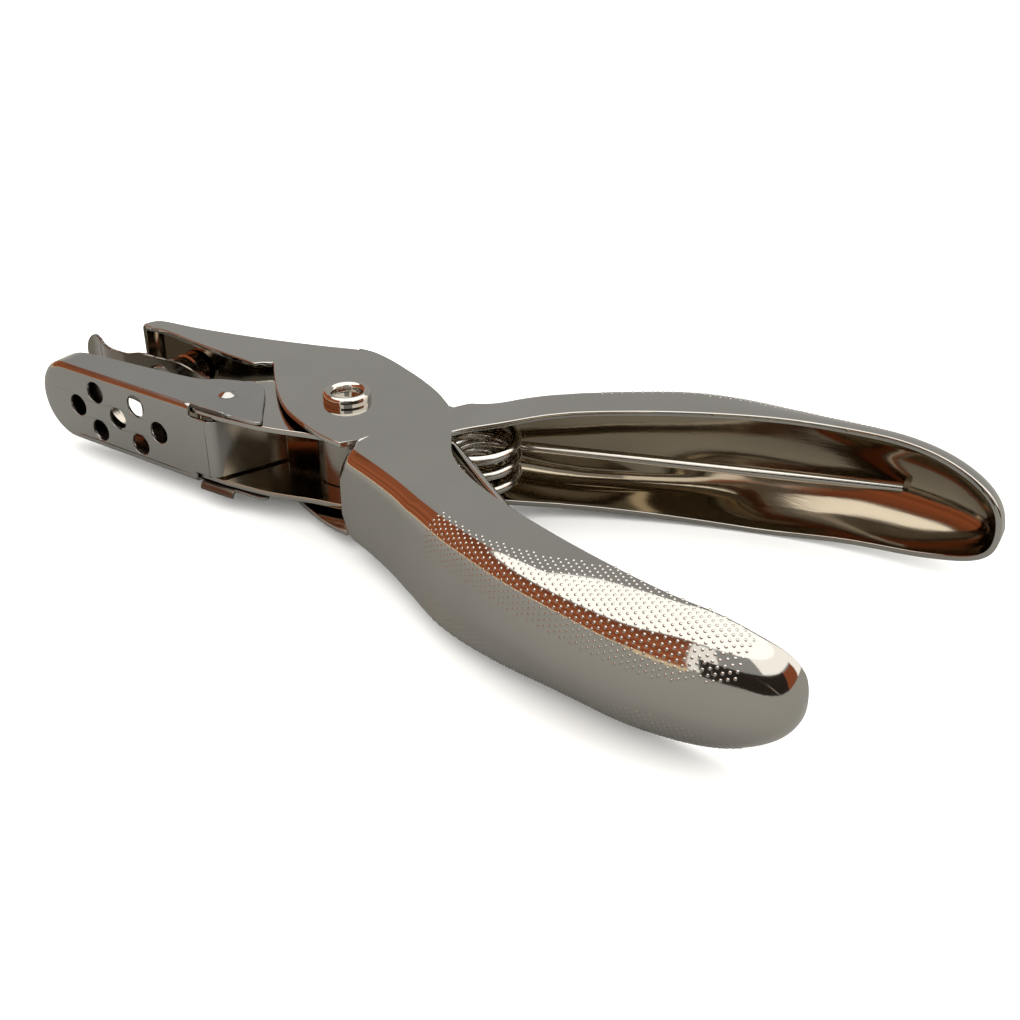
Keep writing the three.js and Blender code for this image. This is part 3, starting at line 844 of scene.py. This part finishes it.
def build_tray():
    surface = Surface()
    start = TRAY_NOSE_X + TRAY_NOSE_LENGTH
    plan = []
    straight = 26
    for k in range(straight):
        x = lerp(TRAY_SLIT_X, start, k / straight)
        plan.append((Vector((x, TRAY_CHEEK)), Vector((0, 1)), TRAY_BEND))
    turn = 40
    for k in range(turn + 1):
        angle = QUARTER + math.pi * k / turn
        point = Vector((start + TRAY_NOSE_LENGTH * math.cos(angle), TRAY_CHEEK * math.sin(angle)))
        normal = Vector((math.cos(angle) / TRAY_NOSE_LENGTH, math.sin(angle) / TRAY_CHEEK)).normalized()
        at_nose = max(0.0, -math.cos(angle)) ** 1.5
        plan.append((point, normal, lerp(TRAY_BEND, 2.4, at_nose)))
    for k in range(1, straight + 1):
        x = lerp(start, TRAY_SLIT_X, k / straight)
        plan.append((Vector((x, -TRAY_CHEEK)), Vector((0, -1)), TRAY_BEND))
    columns = []
    for point, normal, bend in plan:
        top = tray_top_y(point.x)
        low = tray_floor_y(point.x)
        column = []
        for k in range(6):
            column.append((0.0, lerp(top, low + bend, k / 6)))
        for k in range(10):
            angle = QUARTER * k / 9
            column.append((bend * (1 - math.cos(angle)), low + bend * (1 - math.sin(angle))))
        column.append((bend + 0.3, None))
        full = []
        for inset, y in column:
            spot = point - normal * inset
            full.append(Vector((spot.x, tray_floor_y(spot.x) if y is None else y, spot.y)))
        columns.append(full)
    surface.grid(columns)
    floor_edge = [(c[-1].x, c[-1].z) for c in columns]
    tongue = [(TRAY_SLIT_X, -TRAY_TONGUE_HALF), (TRAY_REAR_X, -TRAY_TONGUE_HALF)]
    tongue += [(TRAY_REAR_X, TRAY_TONGUE_HALF), (TRAY_SLIT_X, TRAY_TONGUE_HALF)]
    outline = floor_edge + tongue
    points, faces = flat_with_holes(outline, [circle(x, z, TRAY_HOLE) for x, z in TRAY_HOLES])
    first = len(surface.points)
    for p in points:
        surface.add((p.x, tray_floor_y(p.x), p.y))
    surface.faces += [[first + i for i in f] for f in faces]

    wall_low, wall_top = Vector((-14.5, -11.1)), Vector((-10.4, -1.7))
    rows = []
    rear = [Vector((TRAY_REAR_X, tray_floor_y(TRAY_REAR_X)))]
    rear += [Vector((-15.5, -12.12)), Vector((-15.05, -11.9))]
    rear += [Vector((-14.75, -11.55)), wall_low, wall_low.lerp(wall_top, 0.5), wall_top]
    across = [lerp(-TRAY_TONGUE_HALF, TRAY_TONGUE_HALF, k / 4) for k in range(5)]
    for spot in rear:
        rows.append([Vector((spot.x, spot.y, z)) for z in across])
    surface.grid(rows)

    top_line = [Vector((x, tray_top_y(x))) for x in (-19, -18.8, -18.5)]
    ear_top = smooth([(-18.5, -1.8), (-16.6, -1.35), (-14.9, -1.3), (-13.3, -2.2)], 10)[1:]
    ear_rear = smooth([(-13.3, -2.2), (-11.6, -4.2), (-9.2, -7.3), (-7.3, -9.6)], 10)[1:]
    ear_tip = smooth([(-7.3, -9.6), (-6.7, -10.7), (-7.4, -11.2), (-8.6, -11.35)], 8)[1:]
    edge = [Vector((lerp(-8.6, -19, k / 12), lerp(-11.35, -11.45, k / 12))) for k in range(1, 12)]
    for side in (1, -1):
        rim = columns[0] if side == 1 else columns[-1]
        down = [Vector((p.x, p.y, side * TRAY_CHEEK)) for p in rim[:7]]
        ear = top_line[1:] + ear_top + ear_rear + ear_tip + edge
        loop = [Vector((p.x, p.y, side * TRAY_CHEEK)) for p in ear]
        surface.polygon(list(reversed(down)) + loop)
        lip = [p for p in edge if p.x < LIP_FRONT_X]
        lip_rows = [[Vector((p.x, p.y, side * TRAY_CHEEK)) for p in lip]]
        for dy, dz in ((0.22, 0.06), (0.4, 0.2), (0.5, 0.42), (0.48, 0.62)):
            lip_rows.append([Vector((p.x, p.y - dy, side * (TRAY_CHEEK + dz))) for p in lip])
        surface.grid(lip_rows)

    obj = surface.mesh_object("chip_tray_shell")
    # The tray's inner faces take the dark painted-shade material.
    obj = press(obj, TRAY_SHEET, tray_nickel, tray_inside_painted_shade, 0.09)
    place(obj, tray_nickel, "tray_nickel", "chip_tray", "chip_tray")

    for side in (1, -1):
        outside = side * TRAY_CHEEK
        profile = []
        for k in range(13):
            share = k / 12
            radius = max(DIMPLE_REACH * (1 - share), 0.001)
            profile.append((radius, outside + side * (0.02 + DIMPLE_RISE * smoothstep(share, 0, 0.85))))
        name = "tray_dimple_top" if side == 1 else "tray_dimple_bottom"
        dimple = lathe(name, profile, TRAY_PIVOT, sides=40)
        flip_if(dimple, dimple.data.polygons[0].normal.z * side < 0)
        place(dimple, tray_nickel, "tray_nickel", "chip_tray")


# ---- return spring ----

COIL_CENTRE = Vector((17.6, 6.8))
COIL_RADIUS = 5.2
COIL_PITCH = 2.5
COIL_HALF = 3.5
WIRE_RADIUS = 0.75
TURNS = 3


def build_spring():
    inner_end = Vector((70.5, 29.9, -0.6))
    outer_end = Vector((62, -28.4, 0.6))

    def slope(end, side):
        return math.atan2(end.y - COIL_CENTRE.y - side * COIL_RADIUS, end.x - COIL_CENTRE.x)

    start = QUARTER + slope(inner_end, 1)
    finish = 3 * QUARTER + slope(outer_end, -1) + 2 * math.pi * TURNS
    wire = []
    steps = 48 * TURNS
    for i in range(steps + 1):
        angle = lerp(start, finish, i / steps)
        turn = (angle - start) / (2 * math.pi)
        swing = smoothstep(turn, 0, 0.55)
        z = lerp(inner_end.z, -COIL_HALF + COIL_PITCH * max(0, turn - 0.4), swing)
        x = COIL_CENTRE.x + COIL_RADIUS * math.cos(angle)
        y = COIL_CENTRE.y + COIL_RADIUS * math.sin(angle)
        wire.append(Vector((x, y, z)))
    first = [inner_end.lerp(wire[0], k / 24) for k in range(24)]
    last = [wire[-1].lerp(outer_end, k / 24) for k in range(1, 25)]
    line = first + wire + last
    curve = bpy.data.curves.new("wire", "CURVE")
    curve.dimensions = "3D"
    spline = curve.splines.new("POLY")
    spline.points.add(len(line) - 1)
    for k, p in enumerate(line):
        spline.points[k].co = (p.x * MM, p.y * MM, MID_Z + p.z * MM, 1)
    curve.bevel_depth = WIRE_RADIUS * MM
    curve.bevel_resolution = 4
    curve.use_fill_caps = True
    tube = bpy.data.objects.new("wire", curve)
    bpy.context.scene.collection.objects.link(tube)
    depsgraph = bpy.context.evaluated_depsgraph_get()
    mesh = bpy.data.meshes.new_from_object(tube.evaluated_get(depsgraph))
    bpy.data.objects.remove(tube)
    obj = bpy.data.objects.new("spring_wire_coil", mesh)
    bpy.context.scene.collection.objects.link(obj)
    shade(obj, 60)
    obj.data.materials.clear()
    obj.data.materials.append(spring_wire)
    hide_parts("return_spring")
    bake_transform(obj)


# ---- stage, light and camera ----


def emission(name, colour, strength):
    material = bpy.data.materials.new(name)
    material.use_nodes = True
    nodes, links = material.node_tree.nodes, material.node_tree.links
    nodes.clear()
    glow = nodes.new("ShaderNodeEmission")
    glow.inputs["Color"].default_value = (*colour, 1)
    glow.inputs["Strength"].default_value = strength
    out = nodes.new("ShaderNodeOutputMaterial")
    links.new(glow.outputs["Emission"], out.inputs["Surface"])
    return material


CAMERA_AZIMUTH = math.radians(31.89)
CAMERA_PITCH = math.radians(29.87)
CAMERA_PLACE = Vector((0.1067, -0.1284, 0.0932))
FORWARD = Vector((-math.sin(CAMERA_AZIMUTH), math.cos(CAMERA_AZIMUTH), 0))
RIGHT = Vector((math.cos(CAMERA_AZIMUTH), math.sin(CAMERA_AZIMUTH), 0))
UP = Vector((0, 0, 1))


def heading(azimuth, elevation):
    """Direction in the room: azimuth 0 is straight ahead of the camera and 90 is on its right."""
    a, e = math.radians(azimuth), math.radians(elevation)
    level = FORWARD * math.cos(a) + RIGHT * math.sin(a)
    return level * math.cos(e) + UP * math.sin(e)


ROOM_RADIUS = 1.8


def wall(name, azimuths, elevations, colour, strength=1.0, radius=ROOM_RADIUS, stripes=()):
    """A curved glowing panel of the room, seen only in reflections. Stripes are (elevation, share) pairs."""
    levels = [elevations[0], *[e for e, _ in stripes], elevations[1]]
    steps = 12
    points, faces = [], []
    for elevation in levels:
        for k in range(steps + 1):
            flat = heading(lerp(*azimuths, k / steps), 0) * radius
            points.append((flat.x, flat.y, radius * math.tan(math.radians(elevation))))
    for i in range(len(levels) - 1):
        for k in range(steps):
            a = i * (steps + 1) + k
            faces.append((a, a + 1, a + steps + 2, a + steps + 1))
    mesh = bpy.data.meshes.new(name)
    mesh.from_pydata(points, [], faces)
    shares = [1.0, *[share for _, share in stripes]]
    for i, share in enumerate(shares):
        mesh.materials.append(emission(f"{name}_{i}", [c * share for c in colour], strength))
    for i, face in enumerate(mesh.polygons):
        face.material_index = i // steps
    hang(name, mesh)


def hang(name, mesh, lights=False):
    obj = bpy.data.objects.new(name, mesh)
    bpy.context.scene.collection.objects.link(obj)
    obj.visible_camera = False
    obj.visible_shadow = False
    obj.visible_diffuse = lights


def ceiling(name, height, radius, shift, colour, strength):
    """A round soft box over the table."""
    mesh = bpy.data.meshes.new(name)
    sides = 48
    ring = []
    for k in range(sides):
        angle = 2 * math.pi * k / sides
        ring.append((shift.x + radius * math.cos(angle), shift.y + radius * math.sin(angle), height))
    mesh.from_pydata(ring, [], [list(range(sides))])
    mesh.materials.append(emission(name, colour, strength))
    hang(name, mesh, lights=True)


def build_floor():
    """Pale board, nearly white to the camera and made darker in reflections."""
    mesh = bpy.data.meshes.new("floor")
    r = 6.0
    mesh.from_pydata([(-r, -r, 0), (r, -r, 0), (r, r, 0), (-r, r, 0)], [], [(0, 1, 2, 3)])
    obj = bpy.data.objects.new("floor", mesh)
    bpy.context.scene.collection.objects.link(obj)
    material = bpy.data.materials.new("floor_board")
    material.use_nodes = True
    nodes, links = material.node_tree.nodes, material.node_tree.links
    shader = nodes["Principled BSDF"]
    shader.inputs["Roughness"].default_value = 0.9
    shader.inputs["Specular IOR Level"].default_value = 0.0
    path = nodes.new("ShaderNodeLightPath")
    tone = nodes.new("ShaderNodeMix")
    tone.data_type = "RGBA"
    tone.inputs["A"].default_value = (0.93, 0.93, 0.93, 1)
    tone.inputs["B"].default_value = (0.244, 0.24, 0.228, 1)
    links.new(path.outputs["Is Glossy Ray"], tone.inputs["Factor"])
    links.new(tone.outputs["Result"], shader.inputs["Base Color"])
    obj.data.materials.append(material)
    obj.location.z = -0.00005


ROOM_GREY = (0.44, 0.435, 0.42)
FLOOR_FILL = 4.5  # the room lights matt things this many times more strongly than it shows in the plating


def build_world():
    """Grey room. The camera sees a plain pale tone all round."""
    world = bpy.data.worlds.new("room")
    bpy.context.scene.world = world
    world.use_nodes = True
    nodes, links = world.node_tree.nodes, world.node_tree.links
    nodes.clear()
    studio = nodes.new("ShaderNodeBackground")
    studio.inputs["Color"].default_value = (*ROOM_GREY, 1)
    plain = nodes.new("ShaderNodeBackground")
    plain.inputs["Color"].default_value = (0.93, 0.93, 0.93, 1)
    path = nodes.new("ShaderNodeLightPath")
    fill = nodes.new("ShaderNodeMapRange")
    fill.inputs["To Min"].default_value = 1.0
    fill.inputs["To Max"].default_value = FLOOR_FILL
    links.new(path.outputs["Is Diffuse Ray"], fill.inputs["Value"])
    links.new(fill.outputs["Result"], studio.inputs["Strength"])
    mix = nodes.new("ShaderNodeMixShader")
    links.new(path.outputs["Is Camera Ray"], mix.inputs["Fac"])
    links.new(studio.outputs["Background"], mix.inputs[1])
    links.new(plain.outputs["Background"], mix.inputs[2])
    out = nodes.new("ShaderNodeOutputWorld")
    links.new(mix.outputs["Shader"], out.inputs["Surface"])


def build_room():
    """What the plating reflects: a soft box above, a wooden wall on the left, a dark corner by the camera."""
    ceiling("soft_box", 1.3, 1.3, RIGHT * 0.22, (1.0, 0.985, 0.95), 2.1)
    wood = (0.50, 0.15, 0.062)
    grain = ((7, 0.75), (12, 1.05), (17, 0.7), (24, 1.0), (30, 0.8), (38, 0.6))
    wall("wood_wall", (-150, -27), (2.5, 47), wood, stripes=grain)
    wall("wall_foot", (-150, -24), (-1, 2.5), (1.0, 0.80, 0.50), 1.1)
    wall("white_left", (-168, -150), (2.5, 45), (1.0, 0.97, 0.92), 1.5)
    wall("white_right", (62, 92), (1, 24), (1.0, 0.97, 0.92), 1.7)
    wall("white_behind", (62, 150), (24, 46), (1.0, 0.97, 0.92), 1.7)
    wall("wood_right", (92, 118), (0, 22), wood, 0.7)
    wall("dark_corner", (118, 205), (-1, 23), (0.035, 0.026, 0.02), 1.0)


def build_camera():
    data = bpy.data.cameras.new("camera")
    data.sensor_width = 36
    data.lens = 45.88
    data.clip_start = 0.01
    data.clip_end = 50
    obj = bpy.data.objects.new("camera", data)
    bpy.context.scene.collection.objects.link(obj)
    look = FORWARD * math.cos(CAMERA_PITCH) - UP * math.sin(CAMERA_PITCH)
    obj.location = CAMERA_PLACE
    obj.rotation_euler = look.to_track_quat("-Z", "Y").to_euler()
    bpy.context.scene.camera = obj


bpy.context.scene.view_settings.view_transform = "Standard"
build_camera()
build_floor()
build_world()
build_room()
build_outer_lever()
build_inner_lever()
build_rivet()
build_punch()
build_die()
build_guide()
build_tray()
build_spring()
